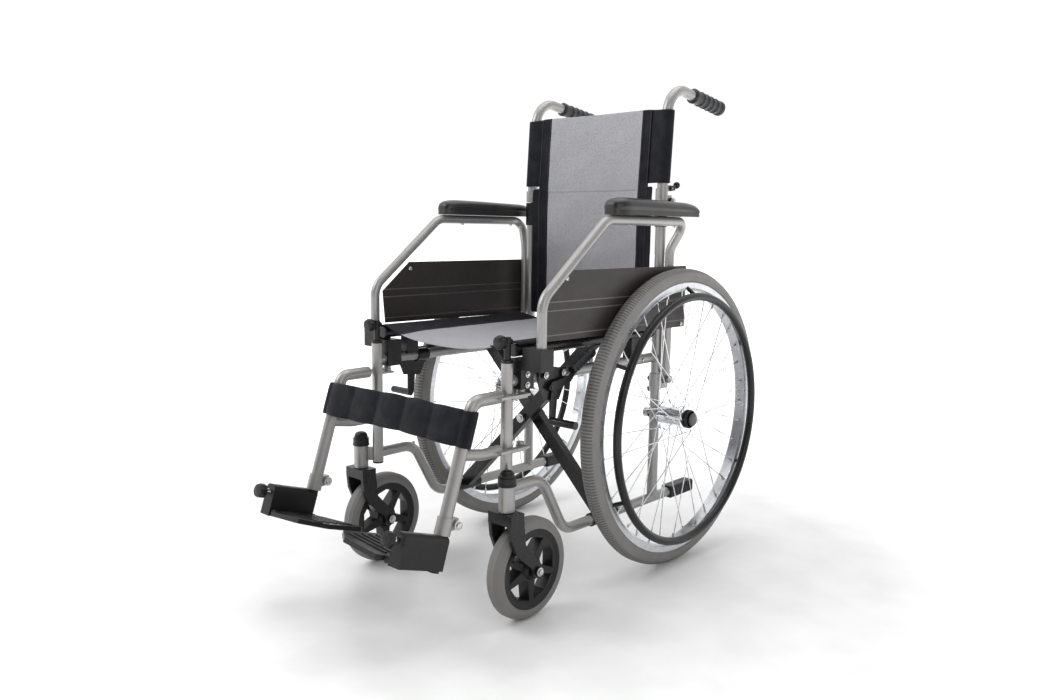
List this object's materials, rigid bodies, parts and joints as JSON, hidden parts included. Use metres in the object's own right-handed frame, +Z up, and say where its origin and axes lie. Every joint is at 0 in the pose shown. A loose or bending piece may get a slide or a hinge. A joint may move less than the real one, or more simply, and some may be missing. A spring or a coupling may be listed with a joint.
{
  "type": "folding wheelchair",
  "caption": "Folding self-propelled wheelchair with spoked rear wheels, swivel casters, flip-back arms, swing-away legrests and a half-folding back.",
  "frame": {"origin": "on the floor under the middle of the chair's outer box", "axes": "+Z up, the chair faces -Y, +X is the sitter's left"},
  "size_m": [0.542, 1.0121, 0.9644],
  "materials": {
    "frame_paint": "satin powder coat",
    "black_plastic": "matt moulded",
    "zinc_steel": "zinc plated",
    "rim_metal": "satin",
    "spoke_steel": "polished",
    "handrim_paint": "gloss black",
    "grey_tyre": "matt grey",
    "grip_rubber": "matt ribbed",
    "pad_cover": "matt soft cover",
    "panel_plastic": "matt ribbed",
    "brace_paint": "satin black",
    "sling_fabric": "woven",
    "strap_fabric": "quilted"
  },
  "bodies": {
    "left_frame": {"side_frame_left": "frame_paint", "arm_socket_left": "black_plastic", "seat_saddles_left": "black_plastic", "end_caps_left": "black_plastic", "wheel_axle_left": "zinc_steel", "brake_bracket_left": "zinc_steel", "back_hinge_left": "zinc_steel", "back_sling": "sling_fabric"},
    "brace_b": {"brace_b": "brace_paint", "brace_bolt": "zinc_steel"},
    "brace_a": {"brace_a": "brace_paint", "seat_sling": "sling_fabric"},
    "right_frame": {"side_frame_right": "frame_paint", "arm_socket_right": "black_plastic", "seat_saddles_right": "black_plastic", "end_caps_right": "black_plastic", "wheel_axle_right": "zinc_steel", "brake_bracket_right": "zinc_steel", "back_hinge_right": "zinc_steel"},
    "left_wheel": {"tyre_left": "grey_tyre", "rim_left": "rim_metal", "spokes_left": "spoke_steel", "hub_left": "zinc_steel", "handrim_left": "handrim_paint"},
    "left_fork": {"fork_left": "black_plastic"},
    "left_caster": {"caster_wheel_left": "black_plastic", "caster_tyre_left": "grey_tyre"},
    "left_back": {"back_cane_left": "frame_paint", "handle_grip_left": "grip_rubber"},
    "left_back_lever": {"back_lever_left": "zinc_steel"},
    "left_arm": {"arm_tube_left": "frame_paint", "arm_pad_left": "pad_cover", "side_panel_left": "panel_plastic"},
    "left_brake_lever": {"brake_lever_left": "black_plastic"},
    "left_brake_arm": {"brake_arm_left": "zinc_steel"},
    "left_legrest": {"hanger_left": "frame_paint", "calf_strap": "strap_fabric"},
    "left_footrest": {"footrest_tube_left": "black_plastic"},
    "left_footplate": {"footplate_left": "black_plastic"},
    "left_latch": {"legrest_lock_left": "black_plastic"},
    "right_wheel": {"tyre_right": "grey_tyre", "rim_right": "rim_metal", "spokes_right": "spoke_steel", "hub_right": "zinc_steel", "handrim_right": "handrim_paint"},
    "right_fork": {"fork_right": "black_plastic"},
    "right_caster": {"caster_wheel_right": "black_plastic", "caster_tyre_right": "grey_tyre"},
    "right_back": {"back_cane_right": "frame_paint", "handle_grip_right": "grip_rubber"},
    "right_back_lever": {"back_lever_right": "zinc_steel"},
    "right_arm": {"arm_tube_right": "frame_paint", "arm_pad_right": "pad_cover", "side_panel_right": "panel_plastic"},
    "right_brake_lever": {"brake_lever_right": "black_plastic"},
    "right_brake_arm": {"brake_arm_right": "zinc_steel"},
    "right_legrest": {"hanger_right": "frame_paint"},
    "right_footrest": {"footrest_tube_right": "black_plastic"},
    "right_footplate": {"footplate_right": "black_plastic"},
    "right_latch": {"legrest_lock_right": "black_plastic"}
  },
  "joints": [
    {"name": "fold", "type": "hinge", "parent": "left_frame", "child": "brace_b", "pos_m": [0.175, 0.037, 0.12], "axis": [0, 1, 0], "range_deg": [0, 33], "deforming": ["seat_sling", "back_sling", "calf_strap"]},
    {"name": "brace_cross", "type": "hinge", "parent": "brace_b", "child": "brace_a", "pos_m": [0, 0.019, 0.295], "axis": [0, 1, 0], "range_deg": [-66, 0], "deforming": ["seat_sling", "back_sling", "calf_strap"]},
    {"name": "right_foot", "type": "hinge", "parent": "brace_a", "child": "right_frame", "pos_m": [-0.175, 0.001, 0.12], "axis": [0, 1, 0], "range_deg": [0, 33], "deforming": ["seat_sling", "back_sling", "calf_strap"]},
    {"name": "left_wheel_spin", "type": "hinge", "parent": "left_frame", "child": "left_wheel", "pos_m": [0.229, 0.206, 0.3], "axis": [1, 0, 0], "continuous": true},
    {"name": "left_caster_swivel", "type": "hinge", "parent": "left_frame", "child": "left_fork", "pos_m": [0.199, -0.26, 0.225], "axis": [0, 0, 1], "continuous": true},
    {"name": "left_caster_spin", "type": "hinge", "parent": "left_fork", "child": "left_caster", "pos_m": [0.199, -0.208, 0.09], "axis": [1, 0, 0], "continuous": true},
    {"name": "left_back_fold", "type": "hinge", "parent": "left_frame", "child": "left_back", "pos_m": [0.175, 0.226, 0.733], "axis": [-1, 0, 0], "range_deg": [0, 90], "deforming": ["back_sling"]},
    {"name": "left_back_release", "type": "hinge", "parent": "left_back", "child": "left_back_lever", "pos_m": [0.175, 0.233, 0.759], "axis": [-1, 0, 0], "range_deg": [0, 25]},
    {"name": "left_arm_flip", "type": "hinge", "parent": "left_frame", "child": "left_arm", "pos_m": [0.197, 0.22, 0.372], "axis": [-1, 0, 0], "range_deg": [0, 90]},
    {"name": "left_brake_lever_turn", "type": "hinge", "parent": "left_frame", "child": "left_brake_lever", "pos_m": [0.196, -0.146, 0.4], "axis": [1, 0, 0], "range_deg": [0, 60]},
    {"name": "left_brake_arm_turn", "type": "hinge", "parent": "left_frame", "child": "left_brake_arm", "pos_m": [0.192, -0.134, 0.392], "axis": [1, 0, 0], "range_deg": [0, 48]},
    {"name": "left_legrest_swing", "type": "hinge", "parent": "left_frame", "child": "left_legrest", "pos_m": [0.18, -0.208, 0.35], "axis": [0, 0, 1], "range_deg": [0, 85], "deforming": ["calf_strap"]},
    {"name": "left_footrest_slide", "type": "slide", "parent": "left_legrest", "child": "left_footrest", "axis": [0, -0.309, -0.9511], "range_m": [0, 0.03]},
    {"name": "left_footplate_flip", "type": "hinge", "parent": "left_footrest", "child": "left_footplate", "pos_m": [0.158, -0.39716, 0.14103], "axis": [0, 0.9511, -0.309], "range_deg": [0, 86]},
    {"name": "left_latch_turn", "type": "hinge", "parent": "left_frame", "child": "left_latch", "pos_m": [0.175, -0.237, 0.47], "axis": [0, 0, 1], "range_deg": [0, 90]},
    {"name": "right_wheel_spin", "type": "hinge", "parent": "right_frame", "child": "right_wheel", "pos_m": [-0.229, 0.206, 0.3], "axis": [1, 0, 0], "continuous": true},
    {"name": "right_caster_swivel", "type": "hinge", "parent": "right_frame", "child": "right_fork", "pos_m": [-0.199, -0.26, 0.225], "axis": [0, 0, 1], "continuous": true},
    {"name": "right_caster_spin", "type": "hinge", "parent": "right_fork", "child": "right_caster", "pos_m": [-0.199, -0.208, 0.09], "axis": [1, 0, 0], "continuous": true},
    {"name": "right_back_fold", "type": "hinge", "parent": "right_frame", "child": "right_back", "pos_m": [-0.175, 0.226, 0.733], "axis": [-1, 0, 0], "range_deg": [0, 90], "deforming": ["back_sling"]},
    {"name": "right_back_release", "type": "hinge", "parent": "right_back", "child": "right_back_lever", "pos_m": [-0.175, 0.233, 0.759], "axis": [-1, 0, 0], "range_deg": [0, 25]},
    {"name": "right_arm_flip", "type": "hinge", "parent": "right_frame", "child": "right_arm", "pos_m": [-0.197, 0.22, 0.372], "axis": [-1, 0, 0], "range_deg": [0, 90]},
    {"name": "right_brake_lever_turn", "type": "hinge", "parent": "right_frame", "child": "right_brake_lever", "pos_m": [-0.196, -0.146, 0.4], "axis": [1, 0, 0], "range_deg": [0, 60]},
    {"name": "right_brake_arm_turn", "type": "hinge", "parent": "right_frame", "child": "right_brake_arm", "pos_m": [-0.192, -0.134, 0.392], "axis": [1, 0, 0], "range_deg": [0, 48]},
    {"name": "right_legrest_swing", "type": "hinge", "parent": "right_frame", "child": "right_legrest", "pos_m": [-0.18, -0.208, 0.35], "axis": [0, 0, -1], "range_deg": [0, 85], "deforming": ["calf_strap"]},
    {"name": "right_footrest_slide", "type": "slide", "parent": "right_legrest", "child": "right_footrest", "axis": [0, -0.309, -0.9511], "range_m": [0, 0.03]},
    {"name": "right_footplate_flip", "type": "hinge", "parent": "right_footrest", "child": "right_footplate", "pos_m": [-0.158, -0.39716, 0.14103], "axis": [0, -0.9511, 0.309], "range_deg": [0, 86]},
    {"name": "right_latch_turn", "type": "hinge", "parent": "right_frame", "child": "right_latch", "pos_m": [-0.175, -0.237, 0.47], "axis": [0, 0, -1], "range_deg": [0, 90]}
  ],
  "couplings": [
    {"joint": "brace_cross", "follows": "fold", "ratio": -2},
    {"joint": "right_foot", "follows": "fold", "ratio": 1},
    {"joint": "left_brake_arm_turn", "follows": "left_brake_lever_turn", "ratio": 0.8},
    {"joint": "left_footplate_flip", "follows": "fold", "ratio": 2.6},
    {"joint": "right_brake_arm_turn", "follows": "right_brake_lever_turn", "ratio": 0.8},
    {"joint": "right_footplate_flip", "follows": "fold", "ratio": 2.6},
    {"joint": "right_back_fold", "follows": "left_back_fold", "ratio": 1}
  ]
}
